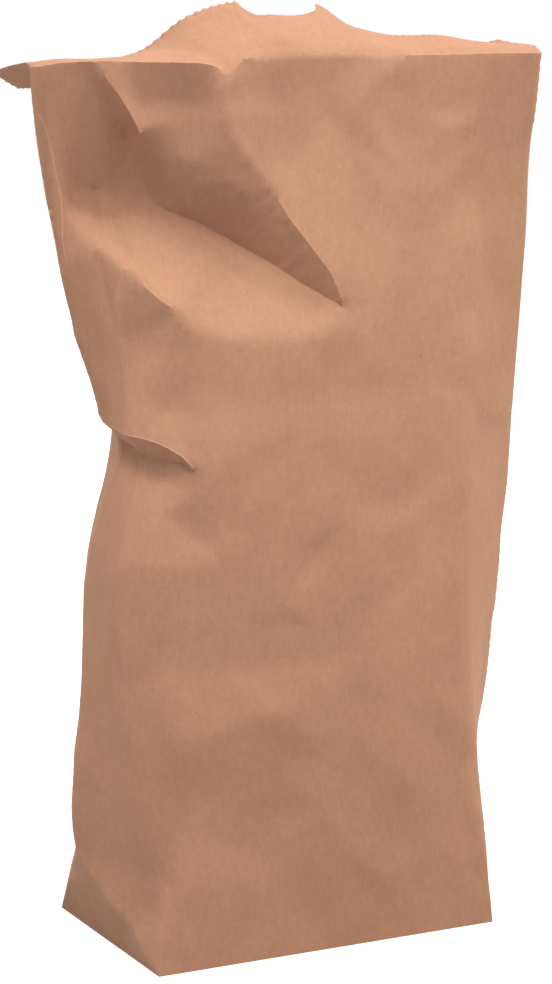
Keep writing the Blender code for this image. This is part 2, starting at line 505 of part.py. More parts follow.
for old in list(bpy.data.objects):
    bpy.data.objects.remove(old)
make_bag()
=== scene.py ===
# %% [markdown]
# A brown paper lunch bag, standing on its base with its mouth folded back once and one side crushed in.
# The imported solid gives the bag's place and size. This lesson makes the sheet that is seen: the same
# sheet of paper, cut into far smaller triangles so that it can carry fine creases, crumples and a crisp
# saw-cut edge, and finished as kraft paper.

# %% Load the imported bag
import math
import bpy
import bmesh
import numpy as np
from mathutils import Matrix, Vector
from mathutils.geometry import delaunay_2d_cdt


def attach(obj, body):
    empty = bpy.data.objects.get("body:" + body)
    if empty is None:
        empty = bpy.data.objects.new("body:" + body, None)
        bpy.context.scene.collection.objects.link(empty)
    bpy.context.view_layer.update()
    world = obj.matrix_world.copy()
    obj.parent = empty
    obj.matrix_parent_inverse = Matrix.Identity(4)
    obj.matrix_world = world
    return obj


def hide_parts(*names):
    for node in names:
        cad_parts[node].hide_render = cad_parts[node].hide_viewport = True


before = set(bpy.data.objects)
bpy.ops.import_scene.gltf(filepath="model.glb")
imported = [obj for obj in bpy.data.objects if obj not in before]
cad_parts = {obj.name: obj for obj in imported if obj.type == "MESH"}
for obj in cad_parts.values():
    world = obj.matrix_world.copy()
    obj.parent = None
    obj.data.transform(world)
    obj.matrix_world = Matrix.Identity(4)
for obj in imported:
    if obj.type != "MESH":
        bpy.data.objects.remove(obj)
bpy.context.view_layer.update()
MM = 0.001

# %% [markdown]
# The camera comes first, because every later choice is judged through it. The lines of the base run
# together only gently, so it stands about a metre off with a long lens. It stands at the height of the
# folded mouth: the fold is seen nearly level, and the flap behind it shows its true rise.

# %% Camera
FRAME_WIDE = 552
FRAME_HIGH = 984
SENSOR = 36
LENS_PIXELS = 2700          # focal length measured in pixels of the frame
STAND_OFF = 0.927           # camera to its aim, measured level
SIDE_ANGLE = -27            # degrees round from straight ahead, towards the crushed side
EYE_HEIGHT = 0.300
AIM = Vector((0, -0.003, 0.135))
SHIFT_ACROSS = -3           # pixels by which the lens is shifted sideways
SHIFT_UP = 53               # and upwards
CLIP_START = 0.01

lens = bpy.data.cameras.new("camera")
lens.sensor_width = SENSOR
lens.lens = LENS_PIXELS * SENSOR / FRAME_HIGH
lens.shift_x = SHIFT_ACROSS / FRAME_HIGH
lens.shift_y = SHIFT_UP / FRAME_HIGH
lens.clip_start = CLIP_START
camera = bpy.data.objects.new("camera", lens)
around = math.radians(SIDE_ANGLE)
camera.location = (math.sin(around) * STAND_OFF, AIM.y - math.cos(around) * STAND_OFF, EYE_HEIGHT)
camera.rotation_euler = (AIM - camera.location).to_track_quat("-Z", "Y").to_euler()
bpy.context.collection.objects.link(camera)
bpy.context.scene.camera = camera
print("lens:", round(lens.lens, 1), "mm, frame:", FRAME_WIDE, "by", FRAME_HIGH)

# %% [markdown]
# A lunch bag is one sheet, so it is worked out as one sheet. A place on it is (across, up). Across runs
# round the bag: 0 is the middle of the front, the gusset creases are at plus and minus EDGE, and both
# ends meet at the seam in the middle of the back. Up runs from the base to the saw-cut mouth.
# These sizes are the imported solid's own sizes, so the fine sheet lies where the solid is.

# %% Sizes of the bag
WIDTH = 130 * MM            # base, left to right
DEPTH = 85 * MM             # base, front to back
FOLD_HEIGHT = 299 * MM      # base to the line where the mouth folds back
FLAP_LENGTH = 29 * MM       # fold line to the mouth
WALL = 0.3 * MM             # paper, and the air its crumples hold
FOLD_TILT = 5 * MM          # the fold line stands this much higher at its right end
FOLD_GAP = 6 * MM           # front sheet to back sheet at the fold
APEX_HEIGHT = 34 * MM       # where each gusset's two lower creases meet
SHOULDER_LENGTH = 9 * MM    # paper that rolls over behind the fold
END_WIDTH = 5 * MM          # from a gusset crease to the front or back of the flattened end

HALF = WIDTH / 2
GUSSET = DEPTH / 2
EDGE = HALF + GUSSET        # across, at a gusset's centre crease
SEAM = 2 * EDGE             # across, at the seam in the back
BACK_EDGE = SEAM - HALF     # across, at a back corner
print("sheet:", round(2 * SEAM / MM), "mm round,", round((FOLD_HEIGHT + FLAP_LENGTH) / MM), "mm high")

# %% [markdown]
# Hands have opened this bag and let it slump, so no upright crease is straight. Each one could be bent
# with a lattice, but then its place would be hard to state. Here each crease is a short list of stops:
# the share of the fold height, the swing past the base's side, and how far it is set before (-) or
# behind (+) the bag's middle, both as shares of half a gusset. A smooth curve runs through the stops.
# Two more lists say how far the middle of the front and of the back stand out.

# %% Upright creases
GUSSET_LEFT = [(0, 0, 0), (0.115, 0.28, 0), (0.33, 0.25, -0.1), (0.53, 0.25, -0.19), (0.67, 0.3, -0.26),
               (0.78, 0.48, -0.32), (0.87, 0.62, -0.36), (0.95, 0.72, -0.4), (1, 0.75, -0.42)]
GUSSET_RIGHT = [(0, 0, 0), (0.115, 0.29, -0.07), (0.2, 0.34, -0.14), (0.34, 0.38, -0.32),
                (0.49, 0.46, -0.38), (0.63, 0.53, -0.39), (0.77, 0.6, -0.39), (0.87, 0.62, -0.4),
                (0.97, 0.7, -0.42), (1, 0.72, -0.43)]
FRONT_LEFT = [(0, 0, -1), (0.1, -0.04, -1), (0.2, 0.09, -0.98), (0.37, 0.23, -0.94), (0.5, 0.19, -0.88),
              (0.63, 0.14, -0.8), (0.77, 0.12, -0.67), (0.9, 0.07, -0.52), (1, 0.02, -0.42)]
FRONT_RIGHT = [(0, 0, -1), (0.1, -0.09, -0.99), (0.2, -0.19, -1), (0.37, -0.3, -0.99), (0.5, -0.26, -0.92),
               (0.63, -0.19, -0.82), (0.77, -0.12, -0.7), (0.9, -0.04, -0.55), (1, 0.04, -0.43)]
BACK_RIGHT = [(0, 0, 1), (0.13, -0.12, 0.92), (0.33, -0.1, 0.84), (0.5, 0, 0.68), (0.67, 0.05, 0.42),
              (0.83, 0.1, 0.02), (1, 0.04, -0.43)]
BACK_LEFT = [(0, 0, 1), (0.13, -0.16, 0.88), (0.33, -0.16, 0.78), (0.5, -0.12, 0.62), (0.67, -0.06, 0.4),
             (0.83, 0.1, 0.02), (1, 0.02, -0.42)]
FRONT_BULGE = [(0, 0), (0.2, 3.5 * MM), (0.5, 5.5 * MM), (0.8, 4 * MM), (0.92, 0), (1, 0)]
BACK_BULGE = [(0, 0), (0.2, 7 * MM), (0.5, 9 * MM), (0.8, 3 * MM), (0.92, 0), (1, 0)]


def read(stops, share):
    """The value at each share along a list of stops, on a smooth curve through them."""
    at = np.array([s[0] for s in stops], float)
    value = np.array([s[1] for s in stops], float)
    slope = np.gradient(value, at)
    share = np.clip(share, at[0], at[-1])
    k = np.clip(np.searchsorted(at, share, side="right") - 1, 0, len(at) - 2)
    gap = at[k + 1] - at[k]
    t = (share - at[k]) / gap
    rise = 3 * t**2 - 2 * t**3
    lead = t**3 - 2 * t**2 + t
    trail = t**3 - t**2
    return value[k] + (value[k + 1] - value[k]) * rise + gap * (slope[k] * lead + slope[k + 1] * trail)


def ease(value):
    """A smooth step from 0 to 1."""
    value = np.clip(value, 0, 1)
    return value * value * (3 - 2 * value)


def crease(stops, side, share):
    """An upright crease in plan, at each share of the fold height."""
    swing = read([(s[0], s[1]) for s in stops], share)
    depth = read([(s[0], s[2]) for s in stops], share)
    return side * (HALF + swing * GUSSET), depth * GUSSET


def slant(stops, side, facing, share):
    """The crease that climbs from a base corner to the gusset's apex, then follows the gusset crease."""
    climb = np.clip(share * FOLD_HEIGHT / APEX_HEIGHT, 0, 1)
    x, y = crease(stops, side, np.maximum(share, APEX_HEIGHT / FOLD_HEIGHT))
    return side * HALF + (x - side * HALF) * climb, facing * GUSSET + (y - facing * GUSSET) * climb


left_x, left_y = crease(GUSSET_LEFT, -1, np.array([1.0]))
print("left end of the fold in mm:", round(float(left_x[0]) / MM, 1), round(float(left_y[0]) / MM, 1))

# %% [markdown]
# Seen from above, the bag at any height is a ring of straight panels between those creases. Stiff
# paper doesn't turn a sharp corner where it was never folded, so the ring is rounded by taking the mean
# of places a little to each side. How far to each side is its own list of stops, from the seam (-1)
# round the left side to the middle of the front (0) and round the right side to the seam again (1).

# %% The ring of panels
TURN = [(-1, 12 * MM), (-0.7, 6 * MM), (-0.5, 1.5 * MM), (-0.42, 6 * MM), (-0.34, 12 * MM),
        (-0.27, 15 * MM), (-0.15, 14 * MM), (0, 8 * MM), (0.2, 6 * MM), (0.3, 3.5 * MM), (0.38, 4 * MM),
        (0.5, 1.5 * MM), (0.7, 6 * MM), (1, 12 * MM)]


def plan(across, share):
    """Where the smooth bag lies in plan, for places across the sheet at shares of the fold height."""
    climb = GUSSET * np.clip(share * FOLD_HEIGHT / APEX_HEIGHT, 0, 1)
    flat = np.zeros_like(share)
    stops = [(flat - SEAM - HALF, crease(BACK_RIGHT, 1, share)),
             (flat - BACK_EDGE, crease(BACK_LEFT, -1, share)),
             (flat - BACK_EDGE + climb, slant(GUSSET_LEFT, -1, 1, share)),
             (flat - EDGE, crease(GUSSET_LEFT, -1, share)),
             (flat - HALF - climb, slant(GUSSET_LEFT, -1, -1, share)),
             (flat - HALF, crease(FRONT_LEFT, -1, share)),
             (flat + HALF, crease(FRONT_RIGHT, 1, share)),
             (flat + HALF + climb, slant(GUSSET_RIGHT, 1, -1, share)),
             (flat + EDGE, crease(GUSSET_RIGHT, 1, share)),
             (flat + BACK_EDGE - climb, slant(GUSSET_RIGHT, 1, 1, share)),
             (flat + BACK_EDGE, crease(BACK_RIGHT, 1, share)),
             (flat + SEAM + HALF, crease(BACK_LEFT, -1, share))]
    x = np.zeros_like(share)
    y = np.zeros_like(share)
    for (start, here), (end, there) in zip(stops, stops[1:]):
        inside = (across >= start) & (across <= end) & (end > start)
        t = (across - start) / np.where(end > start, end - start, 1)
        x = np.where(inside, here[0] + (there[0] - here[0]) * t, x)
        y = np.where(inside, here[1] + (there[1] - here[1]) * t, y)
    return x, y


def side_of(across):
    """1 on the front, -1 on the back, and between the two at the flattened ends."""
    share = np.clip((EDGE - np.abs(across)) / END_WIDTH, -1, 1)
    return share * (3 - share**2) / 2


half_way = plan(np.array([HALF]), np.array([0.5]))
print("right front crease half way up, in mm:", [round(float(v[0]) / MM, 1) for v in half_way])

# %% [markdown]
# At the top the front and back sheets lie nearly together and fold backwards as one. Behind the fold
# the flap springs up in the middle, where the thumb notch is, and droops at its left end, where the
# back sheet hangs lower than the front. The rise is a list of angles in degrees, from the left end (-1)
# to the right (1).

# %% The smooth bag
FRONT_RISE = [(-1, -5), (-0.56, -2), (-0.41, 8), (-0.31, 28), (-0.14, 43), (0.15, 38), (0.28, 19),
              (0.4, 12), (0.6, 10), (0.75, 6), (1, 3)]
BACK_RISE = [(-1, -7), (-0.4, -10), (-0.1, 2), (0.2, 6), (0.6, 4), (1, 6)]
BACK_DROP = [(-1, 6 * MM), (-0.7, 5 * MM), (-0.4, 3 * MM), (1, 3 * MM)]
DROP_WIDTH = 12 * MM        # the back sheet reaches that drop this far past the gusset crease
SHOULDER_RISE = [(-1, 24), (-0.5, 24), (-0.25, 46), (0.5, 44), (1, 34)]    # where it leaves the fold
FLAP_STRIPS = 8             # steps along the flap in which its rise is added up
TURN_SAMPLES = 9            # places whose mean rounds a corner
ROUNDED_BY = 0.2            # share of the fold height above which the corners are rounded in full
GAP_FROM = 0.8              # share above which the sheets are set to the fold's gap
DROP_FROM = 0.9             # share above which the back sheet starts to hang
PUSH_SPREAD = 12 * MM       # a dent is pushed square to the sheet as it runs this far to each side


def smooth_bag(across, up):
    """The bag before it is dented, in space, for places on the sheet."""
    share = np.clip(up / FOLD_HEIGHT, 0, 1)
    turn = read(TURN, across / SEAM) * ease(share / ROUNDED_BY)
    x = np.zeros_like(share)
    y = np.zeros_like(share)
    for k in np.linspace(-1, 1, TURN_SAMPLES):
        place = (across + k * turn + SEAM) % (2 * SEAM) - SEAM
        at = plan(place, share)
        x += at[0] / TURN_SAMPLES
        y += at[1] / TURN_SAMPLES
    side = side_of(across)
    front = np.clip(1 - (across / HALF)**2, 0, 1)
    back = np.clip(1 - ((SEAM - np.abs(across)) / HALF)**2, 0, 1)
    y += read(BACK_BULGE, share) * back - read(FRONT_BULGE, share) * front
    y -= side * FOLD_GAP / 2 * ease((share - GAP_FROM) / (1 - GAP_FROM))
    across_front = np.where(np.abs(across) > EDGE, np.sign(across) * SEAM - across, across) / EDGE
    z = share * FOLD_HEIGHT + FOLD_TILT * share**2 * (across_front + 1) / 2
    behind = np.clip((np.abs(across) - EDGE) / DROP_WIDTH, 0, 1)
    z -= read(BACK_DROP, across_front) * behind * ease((share - DROP_FROM) / (1 - DROP_FROM))
    past = np.clip(up - FOLD_HEIGHT, 0, None)
    rise = read(FRONT_RISE, across_front) * (1 + side) / 2 + read(BACK_RISE, across_front) * (1 - side) / 2
    shoulder = read(SHOULDER_RISE, across_front)
    for k in range(FLAP_STRIPS):
        done = past * (k + 0.5) / FLAP_STRIPS
        angle = np.radians(shoulder + (rise - shoulder) * ease(done / SHOULDER_LENGTH))
        y += past / FLAP_STRIPS * np.cos(angle)
        z += past / FLAP_STRIPS * np.sin(angle)
    return np.stack([x, y, z], 1)


def outward(across, up):
    """The direction in which a dent is pushed: square to the smooth bag, averaged round its corners."""
    step = 1 * MM
    before = smooth_bag((across - PUSH_SPREAD + SEAM) % (2 * SEAM) - SEAM, up)
    after = smooth_bag((across + PUSH_SPREAD + SEAM) % (2 * SEAM) - SEAM, up)
    along = after - before
    rise = smooth_bag(across, up + step) - smooth_bag(across, np.maximum(up - step, 0))
    normal = np.cross(along, rise)
    return normal / np.linalg.norm(normal, axis=1, keepdims=True)


top_middle = smooth_bag(np.array([0.0]), np.array([FOLD_HEIGHT + FLAP_LENGTH]))[0]
print("top of the flap in mm:", [round(float(v) / MM, 1) for v in top_middle])

# %% [markdown]
# The dents are what makes this bag this bag. A grip has pushed its left side in, and stiff paper
# answers with straight folds: a long valley with a brow above it, a second, shorter pinch below, and
# soft undulations further down. Sculpting would give dents that nobody could edit later. Each fold is
# drawn on the flat sheet instead, as a line of (across, up, out, down) in millimetres, as a paper
# maker would draw it. Out is how far the paper stands proud and down is how far it hangs.
# Sharp folds keep their edge, and soft ones are eased.

# %% The drawn folds
DRAWN_WIDTH = 215           # the drawing's own sheet in mm, gusset crease to gusset crease
DRAWN_HEIGHT = 299          # and base to fold
SHARP = {
    "fold line": [(-107.5, 299, 0, 0), (-94, 299, 0, -1), (-77.5, 299, 0, -1.3), (-66, 299, 0, -1),
                  (-52, 299, 0, -0.6), (-40, 299, 0, 0), (-34, 299, 0, 0.8), (-31.5, 299, 0, 2),
                  (-30, 299, 0, 3.8), (-28, 299, 0, 4.4), (-25.5, 299, 0, 2.2), (-22, 299, 0, -0.9),
                  (-18, 299, 0, -1.4), (-5, 299, 0, -1.7), (22, 299, 0, -1.8), (36, 299, 0, -0.6),
                  (68, 299, 0, -0.4), (107.5, 299, 0, 0)],
    "valley's start": [(-101.6, 257.3, -4.4, 0), (-95.4, 257.8, -8, 0), (-89, 259, -10.6, 0),
                       (-79.3, 259.7, -13.2, 0)],
    "valley, left part": [(-79.3, 259.7, -13.2, 0), (-66.7, 260.2, -15.2, 0), (-54.5, 260.2, -16.4, 0),
                          (-48.5, 257.6, -16.5, 0)],
    "valley, middle": [(-48.5, 257.6, -16.5, 0), (-41.5, 254.1, -17, 0), (-32.4, 251.3, -17, 0),
                       (-23.3, 246.2, -16, 0)],
    "valley, right part": [(-23.3, 246.2, -16, 0), (-14.9, 240.8, -14, 0), (-7.2, 235.2, -11, 0),
                           (0.5, 228.4, -7.5, 0), (8.2, 222.6, -3.5, 0), (13.1, 219, 0.5, 0)],
    "lens": [(-101.6, 257.3, -4.4, 0), (-96.1, 254.8, -7.7, 0), (-92, 253.4, -9.8, 0),
             (-82.1, 251.4, -12.6, 0), (-66, 251, -14.9, 0), (-54.1, 254.1, -16.3, 0),
             (-48.5, 257.6, -16.5, 0)],
    "brow, upright part": [(-30, 299, 0, 3.8), (-30.2, 292, 0.2, 1), (-29, 285, 0.4, 0),
                           (-28.2, 279.3, 0.4, 0)],
    "pucker": [(-28, 299, 0, 4.4), (-26.6, 295, 0.9, 2.2), (-24.6, 291.5, 0.6, 0.8), (-22, 289, 0, 0)],
    "brow": [(-28.2, 279.3, 0.4, 0), (-24.7, 273, 0.5, 0), (-17.7, 264.6, 0.7, 0), (-11.4, 257, 0.8, 0)],
    "brow, lower part": [(-11.4, 257, 0.8, 0), (-6.5, 248.5, 1, 0), (0.5, 239.4, 1.2, 0),
                         (8.2, 229.6, 1.2, 0), (13.1, 219, 0.5, 0)],
    "crest": [(-77.5, 299, 0, -1.3), (-71.6, 293.3, -0.1, -0.3), (-66.2, 288.4, -0.4, 0),
              (-62, 283.5, -1.1, 0), (-59, 279.6, -2.2, 0), (-57.6, 277.2, -2.6, 0)],
    "crest's tip": [(-57.6, 277.2, -2.6, 0), (-54.1, 278.6, -3, 0), (-49.9, 279.5, -3.4, 0)],
    "left edge": [(-105, 284.2, 0, 0), (-103.1, 280, -0.5, 0), (-101.9, 272.3, -1.7, 0),
                  (-101.9, 264.6, -3, 0), (-101.6, 257.3, -4.4, 0), (-101.9, 252, -3, 0),
                  (-103.1, 243.6, -1.3, 0), (-102.4, 236.6, -0.4, 0)],
    "ridge, corner": [(-56.9, 228.2, -3, 0), (-52, 224, -2, 0), (-47.8, 221.2, -1.5, 0)],
    "pinch, lip": [(-107.5, 187, -5, 1), (-100.4, 184.3, -4.2, 1), (-91.2, 183.5, -4.2, 1),
                   (-80, 182.7, -4.2, 1.2), (-65, 181.8, -3.2, 1.5), (-59.7, 181, -2, 1.5),
                   (-54.8, 179.6, -1.2, 1.5), (-51.3, 177.8, -0.6, 1.2), (-46.4, 174.3, -0.2, 0.6),
                   (-42.9, 170.1, -0.2, 0)],
    "pinch, valley": [(-107.5, 177.5, -12.5, 0), (-100, 176.8, -12, 0), (-88.4, 176.3, -11.4, 0),
                      (-76, 175.7, -10.8, 0), (-65, 175.1, -9.8, 0), (-55.5, 173.4, -8, 0),
                      (-50.6, 172.5, -5.8, 0), (-46.4, 171.8, -3, 0), (-42.9, 170.1, -0.2, 0)],
    "pinch, foot": [(-107.5, 171, -12.8, 0), (-100, 170.8, -12.4, 0), (-89, 170.3, -12, 0),
                    (-76.5, 169.8, -11.6, 0), (-65, 169.2, -10.6, 0), (-55.5, 167.5, -8.8, 0),
                    (-49.9, 167.1, -6.4, 0), (-46.4, 167.5, -3.8, 0), (-42.9, 170.1, -0.2, 0)],
}
SOFT = {
    "steep part": [(-51.5, 268.8, -8.4, 0), (-45, 269.5, -6.4, 0), (-36.6, 267.4, -5, 0),
                   (-27.5, 261.8, -4.3, 0), (-19.1, 256.5, -2.8, 0), (-10.7, 249.8, -1.6, 0),
                   (-2.4, 240.4, -0.8, 0), (3.6, 232.2, -0.3, 0)],
    "crest's foot": [(-80, 296.8, -1.8, 0), (-73, 290.5, -4.2, 0), (-67, 283.5, -7.2, 0),
                     (-61, 277, -9.8, 0), (-55.4, 270.2, -12.4, 0), (-51.2, 263.9, -14.8, 0),
                     (-48.5, 257.6, -16.5, 0)],
    "crest runs out": [(-49.9, 279.5, -3.4, 0), (-42.2, 280.2, -3.8, 0), (-35.9, 280.4, -3.2, 0),
                       (-28.2, 279.3, 0.4, 0)],
    "under the fold": [(-58.6, 287.2, -3.6, 0), (-47.6, 287, -4.4, 0), (-37.8, 286.6, -3.8, 0),
                       (-33.2, 287.2, -2, 0)],
    "left panel": [(-89.8, 291.2, -1.7, 0), (-86.3, 283.5, -4, 0), (-83.5, 275.1, -6.2, 0),
                   (-80, 267.4, -8.8, 0)],
    "gusset crease": [(-107.5, 292, 0, 0), (-107.5, 257, 0, 0), (-107.5, 230, 0, 0), (-107.5, 212, 0, 0)],
    "ridge": [(-101.6, 257.3, -4.4, 0), (-97.7, 252, -4.4, 0), (-91.2, 247.1, -4.8, 0),
              (-84.9, 242.4, -5.2, 0), (-75.8, 239.6, -5.2, 0), (-68.1, 236.6, -4.6, 0),
              (-62.5, 232.6, -3.8, 0), (-56.9, 228.2, -3, 0)],
    "ridge runs right": [(-47.8, 221.2, -1.5, 0), (-40.8, 214.2, -1.6, 0), (-31.7, 211.4, -1.5, 0),
                         (-13.5, 210, -0.9, 0), (-3.7, 209.3, -0.4, 0), (4.7, 211.4, 0.3, 0),
                         (13.1, 219, 0.5, 0)],
    "left facet's foot": [(-47.8, 221.2, -1.5, 0), (-51.3, 217, -4.5, 0), (-59.7, 212.1, -7.4, 0),
                          (-76, 209.5, -6.9, 0), (-93, 206.3, -4, 0), (-105.2, 203.7, -1, 0)],
    "left facet's edge": [(-102.4, 236.6, -0.4, 0), (-104, 226.1, -0.7, 0), (-105.2, 215.6, -1, 0),
                          (-105.2, 203.7, -1, 0)],
    "belly": [(-47.8, 221.2, -1.5, 0), (-45, 214.2, -2, 0), (-41.5, 207.2, -2.4, 0), (-38.7, 196, -2.5, 0),
              (-37.3, 186.2, -2.2, 0), (-38, 175, -0.8, 0), (-38, 165.9, 0.2, 0), (-42.9, 159.6, -0.8, 0)],
    "belly's foot": [(-37.3, 186.2, -2.2, 0), (-19.8, 188, -1.2, 0), (-5.1, 189, -0.8, 0),
                     (12.4, 190.4, -0.8, 0), (24.5, 191.9, -0.3, 0), (36, 193.5, 0, 0)],
    "tip ridge": [(13.1, 219, 0.5, 0), (17.3, 209.3, 1, 0), (24.5, 191.9, -0.3, 0)],
    "ray, upper": [(13.1, 219, 0.5, 0), (15.9, 230.3, 0.9, 0), (19.4, 241.5, 0.3, 0)],
    "ray, lower": [(13.1, 219, 0.5, 0), (21.5, 223.3, 0.8, 0), (29.2, 232.4, 0.2, 0)],
    "above the pinch": [(-101, 196, -2, 0), (-92, 193.8, -3.6, 0), (-75.1, 192.6, -5.4, 0),
                        (-56.9, 190.8, -5.2, 0), (-46.4, 188.6, -3.5, 0), (-37.3, 186.2, -2.2, 0)],
    "below the pinch": [(-100.3, 156.3, -6.2, 0), (-84.2, 156.8, -5.8, 0), (-62.5, 156.8, -5, 0),
                        (-51.3, 157, -3, 0), (-42.9, 159.6, -0.8, 0)],
    "gusset pulled in": [(-107.5, 212, 0, 0), (-107.5, 200, -2, 0), (-107.5, 187, -5, 1),
                         (-107.5, 177.5, -12.5, 0), (-107.5, 171, -12.8, 0), (-107.5, 158, -6.5, 0),
                         (-107.5, 143, -2.5, 0), (-107.5, 128, 0, 0)],
    "gusset behind": [(-128, 212, 0, 0), (-128, 195, -4.5, 0), (-128, 180, -10.5, 0), (-128, 165, -8, 0),
                      (-128, 147, -3, 0), (-128, 130, 0, 0)],
    "back corner pulled in": [(-150, 218, 0, 0), (-150, 198, -5, 0), (-150, 180, -9.5, 0),
                              (-150, 163, -7, 0), (-150, 145, -3, 0), (-150, 130, 0, 0)],
    "middle": [(-70, 138, 0, 0), (-30, 138, 0, 0), (0, 140, 0, 0), (40, 140, 0, 0), (80, 130, 0, 0)],
    "factory fold": [(-25, 176, 0.3, 0), (-5, 178, 0.2, 0), (25, 175, 0.3, 0), (52, 171, 0.2, 0),
                     (100, 168.5, 0.2, 0)],
    "low hollow, top": [(-85, 97, 0, 0), (-69, 100, -0.6, 0), (-57, 104, -1, 0), (-27, 103, -1.1, 0),
                        (9, 103, -0.7, 0), (22, 108, 0, 0)],
    "low ridge": [(-72, 60, 0.2, 0), (-58, 68, 0.9, 0), (-47, 79, 1.3, 0), (-25, 86, 1.4, 0),
                  (-6, 87, 1.2, 0), (4, 88, 0.6, 0), (1, 70, 0.7, 0), (1, 49, 0.9, 0), (-9, 38, 0.6, 0),
                  (-17, 29, 0.3, 0)],
    "low hollow": [(-45, 58, -0.2, 0), (-25, 50, -0.3, 0), (-20, 65, 0, 0)],
    "right ridge": [(97, 115, 0.3, 0), (89, 97, 0.6, 0), (61, 86, 1.1, 0), (55, 78, 1.4, 0),
                    (50, 61, 1.5, 0), (51, 48, 0.6, 0)],
    "bottom fold": [(-17, 29, 0.3, 0), (2, 28, 0.6, 0), (32, 29, 0.8, 0), (58, 28, 0.8, 0)],
    "corner valley": [(-63, 42, 0, 0), (-65, 30, -1, 0), (-70.5, 22, -1.8, 0), (-79, 10, -0.8, 0)],
    "corner ridge": [(-60, 29, 0.8, 0), (-62, 15, 0.8, 0), (-64, 4, 0, 0)],
    "top ray": [(29.2, 293.3, 1.2, 0), (18.7, 282.1, 1.2, 0), (13.8, 276.5, 0, 0)],
    "top hollow": [(6, 288, -0.8, 0), (10, 280, -0.6, 0)],
    "top hollow, right": [(36, 288, -0.9, 0), (48, 282, -0.9, 0), (54, 275, 0, 0)],
    "top dimples": [(62, 281.4, -1.2, 0), (66, 278, -0.4, 0), (69.8, 274.4, -1.4, 0)],
    "right field": [(40, 258, 0, 0), (48, 230, 0, 0), (60, 200, 0, 0)],
}
print("drawn folds:", len(SHARP), "sharp and", len(SOFT), "soft")

# %% [markdown]
# Between the drawn lines the paper spans flat from fold to fold. That is what a net of triangles does,
# so the lines are joined up into one net, and any place on the sheet reads its out and down from the
# triangle that it lies in.

# %% A net between the folds
SHEET_TOP = FOLD_HEIGHT + FLAP_LENGTH
NET_REACH = 1.8 * EDGE      # past this, across, the drawn dents have died away
RIM_POINTS = 9              # flat points along each side of the net's rim
SAME_PLACE = 0.1 * MM       # drawn points nearer than this are one point
NET_MERGE = 1e-7            # metres; net points nearer than this are one point
NO_AREA = 1e-12             # a triangle this small has no room for a place
SLACK = 1e-6                # a place just outside a triangle's side still counts as in it


def drawn(line):
    """A drawn line in metres on the bag's own sheet: its places, and how far out and down each is."""
    wide = 2 * EDGE / DRAWN_WIDTH
    high = FOLD_HEIGHT / DRAWN_HEIGHT
    return [((a * wide, u * high), (out * MM, down * MM)) for a, u, out, down in line]


def make_net(lines, rim):
    """The lines and a flat rim joined up into triangles: places, moves and faces."""
    places = list(rim)
    moves = [(0, 0)] * len(rim)
    edges = []
    for line in lines:
        last = None
        for place, move in line:
            near = [k for k, p in enumerate(places) if math.dist(p, place) < SAME_PLACE]
            here = near[0] if near else len(places)
            if not near:
                places.append(place)
                moves.append(move)
            if last is not None:
                edges.append((last, here))
            last = here
    spots = [Vector(p) for p in places]
    verts, _, faces, origin, _, _ = delaunay_2d_cdt(spots, edges, [], 0, NET_MERGE)
    move = np.array([np.mean([moves[k] for k in o], 0) if o else (np.nan, np.nan) for o in origin])
    return np.array([tuple(v) for v in verts]), move, np.array(faces)


def read_net(net, across, up):
    """Out and down at each place, read off a net."""
    points, move, faces = net
    result = np.zeros((len(across), 2))
    for a, b, c in faces:
        origin, first, second = points[a], points[b] - points[a], points[c] - points[a]
        area = first[0] * second[1] - first[1] * second[0]
        if abs(area) < NO_AREA:
            continue
        low = points[[a, b, c]].min(0) - SLACK
        high = points[[a, b, c]].max(0) + SLACK
        near = np.flatnonzero((across > low[0]) & (across < high[0]) & (up > low[1]) & (up < high[1]))
        dx, dy = across[near] - origin[0], up[near] - origin[1]
        s = (dx * second[1] - dy * second[0]) / area
        t = (first[0] * dy - first[1] * dx) / area
        inside = (s >= -SLACK) & (t >= -SLACK) & (s + t <= 1 + SLACK)
        value = move[a] + s[:, None] * (move[b] - move[a]) + t[:, None] * (move[c] - move[a])
        result[near[inside]] = value[inside]
    return result


flat_rim = [(a, u) for a in np.linspace(-NET_REACH, NET_REACH, RIM_POINTS) for u in (0, SHEET_TOP)]
flat_rim += [(a, u) for u in np.linspace(0, FOLD_HEIGHT, RIM_POINTS)[1:] for a in (-NET_REACH, NET_REACH)]
fold_net = make_net([drawn(line) for line in list(SHARP.values()) + list(SOFT.values())], flat_rim)
print("fold net:", len(fold_net[2]), "triangles, crossings:", int(np.isnan(fold_net[1][:, 0]).sum()))

# %% [markdown]
# A bag that has been carried is never quite smooth between its folds. Crumples could be painted with a
# bump texture, but they would vanish at the outline and in raking light. A second net does it in the
# mesh: points scattered over the whole sheet, each a fraction of a millimetre out or in.

# %% Crumples all over the sheet
CRUMPLE_SPACING = 14 * MM
CRUMPLE_HEIGHT = 0.32 * MM
CRUMPLE_SHIFT = 0.45        # share of the spacing by which a point strays from its grid
CRUMPLE_SEED = 11


def crumple_net():
    """Scattered points, each a little out or in."""
    draw = np.random.default_rng(CRUMPLE_SEED)
    points = []
    moves = []
    for up in np.arange(-CRUMPLE_SPACING, SHEET_TOP + CRUMPLE_SPACING, CRUMPLE_SPACING):
        for across in np.arange(-SEAM - CRUMPLE_SPACING, SEAM + CRUMPLE_SPACING, CRUMPLE_SPACING):
            shift = draw.uniform(-CRUMPLE_SHIFT, CRUMPLE_SHIFT, 2) * CRUMPLE_SPACING
            points.append((across + shift[0], up + shift[1]))
            moves.append((draw.normal(0, CRUMPLE_HEIGHT), 0))
    verts, _, faces, origin, _, _ = delaunay_2d_cdt([Vector(p) for p in points], [], [], 0, NET_MERGE)
    move = np.array([moves[o[0]] for o in origin])
    return np.array([tuple(v) for v in verts]), move, np.array(faces)


